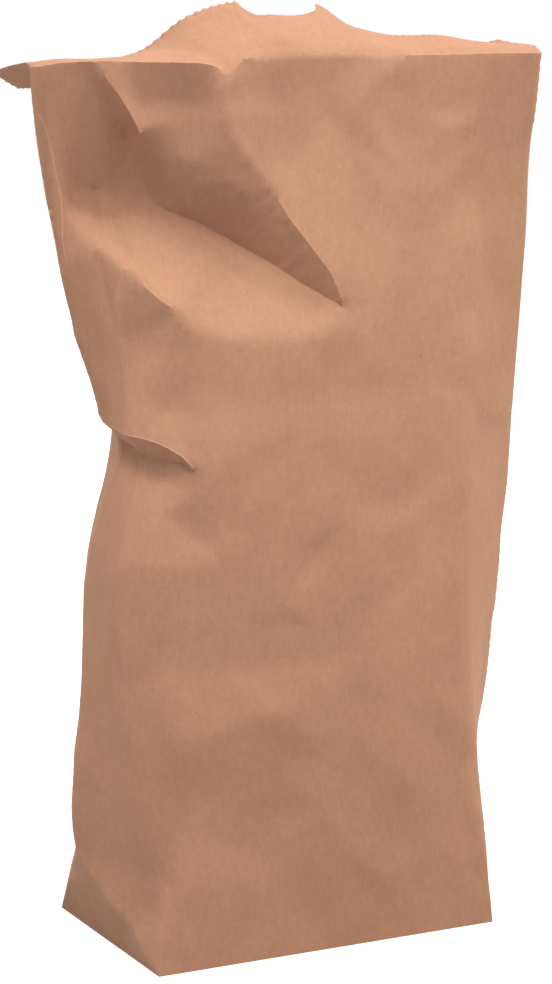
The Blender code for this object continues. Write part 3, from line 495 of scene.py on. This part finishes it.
crumples = crumple_net()
print("crumple net:", len(crumples[2]), "facets")

# %% [markdown]
# The mouth of such a bag is sawn off by a toothed blade, and a thumb notch is cut in the front sheet.
# The rim is worked out tooth by tooth, so it can be changed by its pitch and depth.

# %% The saw-cut mouth
TOOTH_PITCH = 2.6 * MM
TOOTH_DEPTH = 0.8 * MM
NOTCH_WIDTH = 30 * MM
NOTCH_DEPTH = 10 * MM
TOOTH_POINTS = 4            # points along each tooth


def mouth():
    """The rim from seam to seam, as (across, up)."""
    teeth = 2 * round(SEAM / TOOTH_PITCH)
    points = []
    for k in range(teeth * TOOTH_POINTS + 1):
        across = -SEAM + 2 * SEAM * k / (teeth * TOOTH_POINTS)
        notch = max(0, 1 - (2 * across / NOTCH_WIDTH)**2)**0.5
        bite = TOOTH_DEPTH * abs(math.sin(math.pi * k / TOOTH_POINTS)) if notch == 0 else 0
        points.append((across, SHEET_TOP - bite - NOTCH_DEPTH * notch))
    return points


rim = mouth()
print("mouth:", len(rim), "points")

# %% [markdown]
# The flat sheet is cut into triangles that follow every fold, so no fold is ever cut across. A plain
# grid would need to be far finer to show the same edge. The front gets small triangles, and the plainer
# back larger ones.

# %% Cut the sheet into triangles
FRONT_STEP = 2.0 * MM
BACK_STEP = 5 * MM
SEAM_LAP = 12 * MM          # glued overlap of the sheet's two ends
LAP_EDGE = 0.4 * MM         # width of the small step at the lap's edge
SHOULDER_LINE = FOLD_HEIGHT + SHOULDER_LENGTH / 2
CREASES = (-BACK_EDGE, -EDGE, -HALF, HALF, EDGE, BACK_EDGE)
FINE_MARGIN = 4 * FRONT_STEP    # small triangles reach this far past the gusset creases
ROW_RISE = math.sqrt(0.75)  # height of an even-sided triangle, as a share of its side
KEEP_OFF = 0.55             # share of a step that a filling point keeps from every line
SHEET_MERGE = 1e-6          # metres; sheet points nearer than this are one point


def split(line, step):
    """A line with extra points, so that none of its stretches is longer than a step."""
    points = [line[0]]
    for start, end in zip(line, line[1:]):
        count = max(1, math.ceil(math.dist(start, end) / step))
        run = np.array(end) - np.array(start)
        points += [tuple(np.array(start) + run * k / count) for k in range(1, count + 1)]
    return points


def sheet_lines():
    """Every line that the sheet is folded or glued along, as points on the flat sheet."""
    lines = [[(across, 0), (across, FOLD_HEIGHT)] for across in CREASES]
    for side in (-1, 1):
        lines.append([(side * HALF, 0), (side * EDGE, APEX_HEIGHT), (side * BACK_EDGE, 0)])
    for across in (SEAM - SEAM_LAP - LAP_EDGE, SEAM - SEAM_LAP):
        lines.append([(across, 0), (across, SHEET_TOP - 2 * TOOTH_DEPTH)])
    for height in (FOLD_HEIGHT, SHOULDER_LINE):
        lines.append([(-SEAM, height), (SEAM, height)])
    for line in list(SHARP.values()) + list(SOFT.values()):
        lines.append([place for place, _ in drawn(line)])
    return lines


def flat_mesh():
    """The sheet laid flat and cut into triangles."""
    upright = [u for _, u in split([(0, 0), (0, FOLD_HEIGHT)], BACK_STEP)] + [SHOULDER_LINE]
    corners = (-SEAM, *CREASES, SEAM)
    foot = []
    for start, end in zip(corners, corners[1:]):
        step = FRONT_STEP if abs(start + end) < 2 * EDGE else BACK_STEP
        foot += split([(start, 0), (end, 0)], step)[:-1]
    border = foot + [(SEAM, u) for u in upright] + rim[::-1] + [(-SEAM, u) for u in upright[:0:-1]]
    points = list(border)
    edges = []
    for line in sheet_lines():
        front = min(abs(a) for a, _ in line) < EDGE + END_WIDTH
        line = split(line, FRONT_STEP if front else BACK_STEP)
        edges += [(len(points) + k, len(points) + k + 1) for k in range(len(line) - 1)]
        points += line
    fixed = np.array(points)
    rows = np.arange(FRONT_STEP / 2, SHEET_TOP - TOOTH_DEPTH, FRONT_STEP * ROW_RISE)
    for row, up in enumerate(rows):
        across = -SEAM
        while across < SEAM:
            step = FRONT_STEP if abs(across) < EDGE + FINE_MARGIN else BACK_STEP
            place = (across + (row % 2) * step / 2, up)
            sparse = step == BACK_STEP and row % 2
            notch = abs(across) < NOTCH_WIDTH / 2 and up > SHEET_TOP - NOTCH_DEPTH - TOOTH_DEPTH
            if not sparse and not notch and np.min(np.hypot(*(fixed - place).T)) > KEEP_OFF * step:
                points.append(place)
            across += step
    outline = list(range(len(border)))
    spots = [Vector(p) for p in points]
    verts, _, faces, _, _, _ = delaunay_2d_cdt(spots, edges, [outline], 1, SHEET_MERGE)
    return np.array([tuple(v) for v in verts]), [tuple(f) for f in faces]


places, triangles = flat_mesh()
print("flat sheet:", len(places), "places,", len(triangles), "triangles")

# %% [markdown]
# Soft folds are eased: every vertex is drawn a little towards its neighbours, again and again. Vertices
# on a sharp fold are only eased along that fold, so the fold stays crisp but loses its kinks.

# %% Ease the soft folds
SOFT_ROUNDS = 3
CRUMPLE_ROUNDS = 1
ON_FOLD = 0.05 * MM         # a vertex nearer than this to a sharp fold lies on it
NO_FOLD = -1                # the group of vertices that lie on no sharp fold


def distance_to(across, up, lines):
    """How far each place on the sheet lies from the nearest of the lines, and which line that is."""
    best = np.full(len(across), np.inf)
    which = np.full(len(across), -1)
    for index, line in enumerate(lines):
        for start, end in zip(line, line[1:]):
            start, run = np.array(start), np.array(end) - np.array(start)
            t = np.clip(((across - start[0]) * run[0] + (up - start[1]) * run[1]) / (run @ run), 0, 1)
            far = np.hypot(across - start[0] - t * run[0], up - start[1] - t * run[1])
            which = np.where(far < best, index, which)
            best = np.minimum(far, best)
    return best, which


def eased(move, faces, group, rounds):
    """Moves drawn towards their neighbours; a vertex in a group only looks at others of its group."""
    pairs = np.array([(f[i], f[(i + 1) % 3]) for f in faces for i in range(3)])
    pairs = np.concatenate([pairs, pairs[:, ::-1]])
    pairs = pairs[(group[pairs[:, 0]] < 0) | (group[pairs[:, 0]] == group[pairs[:, 1]])]
    total = np.bincount(pairs[:, 0], minlength=len(move)).astype(float)
    for _ in range(rounds):
        around = np.stack([np.bincount(pairs[:, 0], move[pairs[:, 1], k], len(move)) for k in (0, 1)], 1)
        mean = around / np.maximum(total, 1)[:, None]
        move = np.where(total[:, None] > 0, (move + mean) / 2, move)
    return move


across, up = places[:, 0], places[:, 1]
sharp_lines = [[place for place, _ in drawn(line)] for line in SHARP.values()]
far, which = distance_to(across, up, sharp_lines)
group = np.where(far < ON_FOLD, which, NO_FOLD)
move = eased(read_net(fold_net, across, up), triangles, group, SOFT_ROUNDS)
ungrouped = np.full(len(across), NO_FOLD)
small = eased(read_net(crumples, across, up), triangles, ungrouped, CRUMPLE_ROUNDS)
print("deepest dent:", round(-float(move[:, 0].min()) / MM, 1), "mm")

# %% [markdown]
# Now the sheet is folded into space. Crumples fade out at the base's edge, so the bag stands flat.
# The two ends of the sheet are glued together up the back, one over the other, so the outer one
# stands proud there by a paper's thickness along its edge.

# %% Fold the sheet
LAP_STEP = 0.35 * MM        # how far the outer end stands proud along its edge
CALM_FOOT = 25 * MM         # crumples grow to full height over this distance from the base
CALM_SEAM = 8 * MM          # and over this distance from the seam, where the two ends must meet
AT_FOOT = 0.01 * MM         # anything lower than this is the foot, which lies on the ground


def folded(across, up, move, small):
    """The sheet's vertices in space."""
    calm = ease(up / CALM_FOOT) * ease((SEAM - np.abs(across)) / CALM_SEAM)
    lap = np.where(across > SEAM - SEAM_LAP - LAP_EDGE / 2, (SEAM - across) / SEAM_LAP, 0)
    lap *= LAP_STEP * ease(up / CALM_FOOT)
    out = move[:, :1] + small[:, :1] * calm[:, None] + lap[:, None]
    place = smooth_bag(across, up) + outward(across, up) * out
    place[:, 2] -= move[:, 1] * ease(up / CALM_FOOT)
    place[up < AT_FOOT, 2] = 0
    return place


space = folded(across, up, move, small)
print("folded sheet in mm:", (space.min(0) / MM).round(1), (space.max(0) / MM).round(1))

# %% [markdown]
# The triangles become one skin: its two ends meet along the seam, and the ring at the foot is filled to
# make the base. Every corner keeps its place on the flat sheet as a UV, so that the fibres of the paper
# run along the sheet and not along the room.

# %% Build the mesh
SEAM_JOIN = 0.001 * MM      # the two ends meet where their vertices are nearer than this


def build_sheet(space, places, faces):
    """One skin: the folded sheet with its seam joined and its base filled."""
    work = bmesh.new()
    sheet_uv = work.loops.layers.uv.new("sheet")
    verts = [work.verts.new(p) for p in space]
    for face in faces:
        made = work.faces.new([verts[k] for k in face])
        for corner, k in zip(made.loops, face):
            corner[sheet_uv].uv = tuple(places[k])
    bmesh.ops.remove_doubles(work, verts=work.verts, dist=SEAM_JOIN)
    foot = [e for e in work.edges if e.is_boundary and max(v.co.z for v in e.verts) < AT_FOOT]
    base = bmesh.ops.edgeloop_fill(work, edges=foot)["faces"]
    bmesh.ops.recalc_face_normals(work, faces=work.faces)
    if base[0].normal.z > 0:
        bmesh.ops.reverse_faces(work, faces=work.faces)
    for corner in base[0].loops:
        corner[sheet_uv].uv = (corner.vert.co.x, corner.vert.co.y - DEPTH)
    mesh = bpy.data.meshes.new("folded_sheet")
    work.to_mesh(mesh)
    work.free()
    return mesh


sheet_mesh = build_sheet(space, places, triangles)
bag = bpy.data.objects.new("folded_sheet", sheet_mesh)
bpy.context.collection.objects.link(bag)
print("mesh:", len(sheet_mesh.vertices), "vertices,", len(sheet_mesh.polygons), "faces")

# %% [markdown]
# Folds that have been worn or freshly pinched show broken, paler fibres, and so does the cut edge. The
# same paler tone is also a painted highlight: the thin bright line that the rounded top fold and the
# left edge catch from the lamps. The finish can only draw these lines if every vertex knows how far it
# is from such a line on the flat sheet. A distance is better than a painted mark: it runs evenly
# between the vertices, so the line stays thin.

# %% Wear and painted highlight read by the finish
# Worn folds: the gusset creases, the top fold and the base. The top fold's pale line is a painted
# highlight.
WORN_AND_HIGHLIGHT_FOLDS = [[(across, 0), (across, FOLD_HEIGHT)] for across in (-BACK_EDGE, -EDGE, EDGE, BACK_EDGE)]
WORN_AND_HIGHLIGHT_FOLDS += [[(-SEAM, height), (SEAM, height)] for height in (FOLD_HEIGHT, 0)]
# Fresh folds: the left edge, whose pale line is a painted highlight, and the pinch's lip.
FRESH_AND_HIGHLIGHT_FOLDS = [[place for place, _ in drawn(SHARP[name])] for name in ("left edge", "pinch, lip")]


def add_wear_and_highlight(mesh):
    """Distances in millimetres to the nearest worn fold, fresh fold and cut edge, on every vertex; the
    folds' pale lines are partly painted highlight.
    """
    flat = np.zeros(len(mesh.loops) * 2)
    mesh.uv_layers["sheet"].data.foreach_get("uv", flat)
    corner_vert = np.zeros(len(mesh.loops), int)
    mesh.loops.foreach_get("vertex_index", corner_vert)
    at = np.zeros((len(mesh.vertices), 2))
    at[corner_vert] = flat.reshape(-1, 2)
    for name, lines in (("fold_distance", WORN_AND_HIGHLIGHT_FOLDS), ("fresh_and_highlight_distance", FRESH_AND_HIGHLIGHT_FOLDS), ("cut_distance", [rim])):
        far, _ = distance_to(at[:, 0], at[:, 1], lines)
        layer = mesh.attributes.new(name, "FLOAT", "POINT")
        layer.data.foreach_set("value", (far / MM).astype(np.float32))


add_wear_and_highlight(sheet_mesh)
print("wear:", [a.name for a in sheet_mesh.attributes if a.name.endswith("distance")])

# %% [markdown]
# Paper has a front and a back, so the skin gets its wall inward, as the solid has it. Solidify does
# this without closing the mouth, and it turns the wall neatly over the saw cut.

# %% Give the paper its wall
SHARP_ANGLE = 38            # degrees; edges that turn further are shaded sharp


def add_wall(piece):
    """The wall, and smooth shading between the folds."""
    wall = piece.modifiers.new("wall", "SOLIDIFY")
    wall.thickness = WALL
    wall.offset = -1
    wall.use_even_offset = False
    piece.data.shade_smooth()
    piece.data.set_sharp_from_angle(angle=math.radians(SHARP_ANGLE))


add_wall(bag)
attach(bag, "root")
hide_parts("bag")
print("wall:", WALL / MM, "mm")

# %% [markdown]
# Kraft paper is unbleached wood pulp: a warm brown that is never one colour. Up close there are long
# fibres that run up the sheet with fine pulp between them, soft clouds where the pulp lay thicker, and
# a few dark flecks of bark. All of it is worked out from the flat sheet, with noise that has one scale
# across and another up.

# %% Kraft paper
PAPER_PALE = (0.530, 0.284, 0.172)
PAPER_DEEP = (0.385, 0.188, 0.115)
FLECK = (0.20, 0.095, 0.055)
# The paler tone below is worn fibres on the folds and the cut edge, and also a painted highlight along the
# top fold and the left edge.
WEAR_AND_HIGHLIGHT_TONE = (0.60, 0.36, 0.235)

CLOUDS = (38, 30)           # noise scales per metre, across and up
MOTTLING = (420, 330)
FIBRES = (1300, 130)
PULP = (1150, 900)
FLECKS = (900, 500)
PATCHES = (160, 160)
NOISE_ROUGHNESS = 0.6

MIDDLE = (0.3, 0.7)         # the part of a noise's range that holds most of its values
GRAIN_MIDDLE = (0.35, 0.65)
FLECK_PEAKS = (0.76, 0.84)
PATCH_EDGES = (0.4, 0.65)
FIBRE_SHARE = 0.45          # of the grain, with the pulp's share
PULP_SHARE = 0.55
CLOUD_SHARE = 0.38          # of the way from deep to pale, with the two after it
MOTTLING_SHARE = 0.30
GRAIN_SHARE = 0.32
FLECK_AMOUNT = 0.7

# Reaches and amounts of the pale lines: wear, and painted highlight on the top fold and the left edge.
WORN_AND_HIGHLIGHT_REACH = (0.1, 1.1)     # millimetres from the line, where its paleness starts to fade and is gone
FRESH_AND_HIGHLIGHT_REACH = (0.1, 0.35)
CUT_REACH = (0, 0.5)
WORN_AND_HIGHLIGHT_AMOUNT = 0.45          # how much of the paler tone there is on the line itself
FRESH_AND_HIGHLIGHT_AMOUNT = 0.8
CUT_AMOUNT = 0.5

ROUGHNESS = (0.72, 0.88)    # on the lowest and the highest grain
GLOSS = 0.35
BUMP_STRENGTH = 0.5
BUMP_HEIGHT = 0.0002


def add(tree, kind, **inputs):
    """A node with its inputs set by name."""
    made = tree.nodes.new(kind)
    for name, value in inputs.items():
        made.inputs[name.replace("_", " ")].default_value = value
    return made


def stretched_noise(tree, place, scale, detail):
    """Noise on the flat sheet, with its own scale across and up (per metre)."""
    mapping = add(tree, "ShaderNodeMapping", Scale=(scale[0], scale[1], 1))
    noise = add(tree, "ShaderNodeTexNoise", Scale=1, Detail=detail, Roughness=NOISE_ROUGHNESS)
    tree.links.new(place, mapping.inputs["Vector"])
    tree.links.new(mapping.outputs["Vector"], noise.inputs["Vector"])
    return noise.outputs["Fac"]


def spread(tree, value, low, high, to_low=0.0, to_high=1.0):
    """A value moved from one range to another and held within it."""
    made = add(tree, "ShaderNodeMapRange", From_Min=low, From_Max=high, To_Min=to_low, To_Max=to_high)
    tree.links.new(value, made.inputs["Value"])
    return made.outputs["Result"]


def tint(tree, amount, base, colour):
    """One colour laid by an amount over another, which is a colour itself or comes from a node."""
    made = tree.nodes.new("ShaderNodeMix")
    made.data_type = "RGBA"
    tree.links.new(amount, made.inputs["Factor"])
    if isinstance(base, tuple):
        made.inputs["A"].default_value = (*base, 1)
    else:
        tree.links.new(base, made.inputs["A"])
    made.inputs["B"].default_value = (*colour, 1)
    return made.outputs["Result"]


def maths(tree, how, first, second):
    """Two values put together."""
    made = tree.nodes.new("ShaderNodeMath")
    made.operation = how
    for socket, value in zip(made.inputs, (first, second)):
        if isinstance(value, (int, float)):
            socket.default_value = value
        else:
            tree.links.new(value, socket)
    return made.outputs["Value"]


def weighed(tree, value, middle, share):
    """A noise stretched over its middle range and brought down to its share of a sum."""
    return maths(tree, "MULTIPLY", spread(tree, value, *middle), share)


def beside(tree, name, reach, amount):
    """An amount that is full on a line and fades out over its reach."""
    far = tree.nodes.new("ShaderNodeAttribute")
    far.attribute_name = name
    return spread(tree, far.outputs["Fac"], *reach, amount, 0)


def kraft_paper():
    """The bag's finish, from the flat sheet outwards."""
    paper = bpy.data.materials.new("kraft_paper")
    paper.use_nodes = True
    tree = paper.node_tree
    shader = tree.nodes["Principled BSDF"]
    sheet = tree.nodes.new("ShaderNodeUVMap")
    sheet.uv_map = "sheet"
    place = sheet.outputs["UV"]

    clouds = stretched_noise(tree, place, CLOUDS, 4)
    mottling = stretched_noise(tree, place, MOTTLING, 3)
    fibres = maths(tree, "MULTIPLY", stretched_noise(tree, place, FIBRES, 4), FIBRE_SHARE)
    pulp = maths(tree, "MULTIPLY", stretched_noise(tree, place, PULP, 3), PULP_SHARE)
    grain = maths(tree, "ADD", fibres, pulp)

    soft = maths(tree, "ADD", weighed(tree, clouds, MIDDLE, CLOUD_SHARE),
                 weighed(tree, mottling, MIDDLE, MOTTLING_SHARE))
    blend = maths(tree, "ADD", soft, weighed(tree, grain, GRAIN_MIDDLE, GRAIN_SHARE))
    colour = tint(tree, blend, PAPER_DEEP, PAPER_PALE)
    flecks = stretched_noise(tree, place, FLECKS, 1)
    colour = tint(tree, spread(tree, flecks, *FLECK_PEAKS, 0, FLECK_AMOUNT), colour, FLECK)

    patchy = spread(tree, stretched_noise(tree, place, PATCHES, 3), *PATCH_EDGES)
    # Pale lines on the folds: worn fibres, and a painted highlight along the top fold and the left edge.
    worn_and_highlight = maths(tree, "MULTIPLY", beside(tree, "fold_distance", WORN_AND_HIGHLIGHT_REACH, WORN_AND_HIGHLIGHT_AMOUNT), patchy)
    fresh_and_highlight = beside(tree, "fresh_and_highlight_distance", FRESH_AND_HIGHLIGHT_REACH, FRESH_AND_HIGHLIGHT_AMOUNT)
    cut = beside(tree, "cut_distance", CUT_REACH, CUT_AMOUNT)
    for pale in (worn_and_highlight, fresh_and_highlight, cut):
        colour = tint(tree, pale, colour, WEAR_AND_HIGHLIGHT_TONE)
    tree.links.new(colour, shader.inputs["Base Color"])

    rough = spread(tree, grain, *MIDDLE, *ROUGHNESS)
    tree.links.new(rough, shader.inputs["Roughness"])
    shader.inputs["Specular IOR Level"].default_value = GLOSS
    bump = add(tree, "ShaderNodeBump", Strength=BUMP_STRENGTH, Distance=BUMP_HEIGHT)
    tree.links.new(grain, bump.inputs["Height"])
    tree.links.new(bump.outputs["Normal"], shader.inputs["Normal"])
    return paper


bag.data.materials.append(kraft_paper())
print("finish:", bag.data.materials[0].name, "with", len(bag.data.materials[0].node_tree.nodes), "nodes")

# %% [markdown]
# The photo shows the bag cut out on white. The floor and the room behind are white to the camera only,
# through Light Path, so that they add no more light to the paper than a pale studio would, and the
# floor still takes the bag's soft shadow.

# %% Floor and room
FLOOR_REACH = 3.0           # metres from the bag to each side of the floor
FLOOR_TONE = 0.50
FLOOR_LIFT = 0.70           # what the floor gains for the camera, so that it reaches white
LIFT_GROWS = (0.2, 0.9)     # metres from the bag over which that gain grows to 1
ROOM_LIGHT = 0.24


def seen_directly(tree):
    """1 for what the camera, a gloss or a clear surface shows, and 0 for light on its way."""
    path = tree.nodes.new("ShaderNodeLightPath")
    gloss = maths(tree, "MAXIMUM", path.outputs["Is Glossy Ray"], path.outputs["Is Transmission Ray"])
    return maths(tree, "MAXIMUM", path.outputs["Is Camera Ray"], gloss)


def white_floor():
    """A matt pale floor that reaches white where no shadow falls."""
    paint = bpy.data.materials.new("white_floor")
    paint.use_nodes = True
    tree = paint.node_tree
    shader = tree.nodes["Principled BSDF"]
    shader.inputs["Base Color"].default_value = (FLOOR_TONE, FLOOR_TONE, FLOOR_TONE, 1)
    shader.inputs["Roughness"].default_value = 1
    shader.inputs["Specular IOR Level"].default_value = 0
    shader.inputs["Emission Color"].default_value = (1, 1, 1, 1)
    where = tree.nodes.new("ShaderNodeTexCoord")
    reach = tree.nodes.new("ShaderNodeVectorMath")
    reach.operation = "LENGTH"
    tree.links.new(where.outputs["Object"], reach.inputs[0])
    far_lift = spread(tree, reach.outputs["Value"], *LIFT_GROWS, FLOOR_LIFT, 1)
    lift = maths(tree, "MULTIPLY", seen_directly(tree), far_lift)
    tree.links.new(lift, shader.inputs["Emission Strength"])
    return paint


floor_mesh = bpy.data.meshes.new("floor")
corners = [(x * FLOOR_REACH, y * FLOOR_REACH, 0) for x, y in ((-1, -1), (1, -1), (1, 1), (-1, 1))]
floor_mesh.from_pydata(corners, [], [(0, 1, 2, 3)])
floor = bpy.data.objects.new("floor", floor_mesh)
bpy.context.collection.objects.link(floor)
floor.data.materials.append(white_floor())

world = bpy.data.worlds.new("room")
world.use_nodes = True
room = world.node_tree
backdrop = room.nodes["Background"]
backdrop.inputs["Color"].default_value = (1, 1, 1, 1)
strength = spread(room, seen_directly(room), 0, 1, ROOM_LIGHT, 1)
room.links.new(strength, backdrop.inputs["Strength"])
bpy.context.scene.world = world
print("room light:", ROOM_LIGHT)

# %% [markdown]
# The dents show because the light comes from high up: facets that face up are bright and those that
# face down are dark. Two strong soft lamps stand high at the left and the right, so that each gusset
# gets its own light, and a weaker one in front fills the upright faces. They stand far off, so that
# the foot of the bag gets nearly as much light as its mouth.

# %% Lamps
def lamp(name, place, size, power, colour):
    """A square soft lamp that faces the bag."""
    data = bpy.data.lights.new(name, "AREA")
    data.size = size
    data.energy = power
    data.color = colour
    made = bpy.data.objects.new(name, data)
    made.location = place
    aim = Vector((0, 0, FOLD_HEIGHT / 2))
    made.rotation_euler = (aim - made.location).to_track_quat("-Z", "Y").to_euler()
    bpy.context.collection.objects.link(made)


lamp("front lamp", (0.59, -1.63, 2.65), 1.3, 34, (1.0, 0.97, 0.90))
lamp("right lamp", (2.05, -0.67, 2.29), 1.1, 62, (1.0, 0.96, 0.92))
lamp("left lamp", (-1.44, -0.46, 2.79), 1.1, 70, (1.0, 0.97, 0.96))
bpy.context.scene.view_settings.view_transform = "Standard"
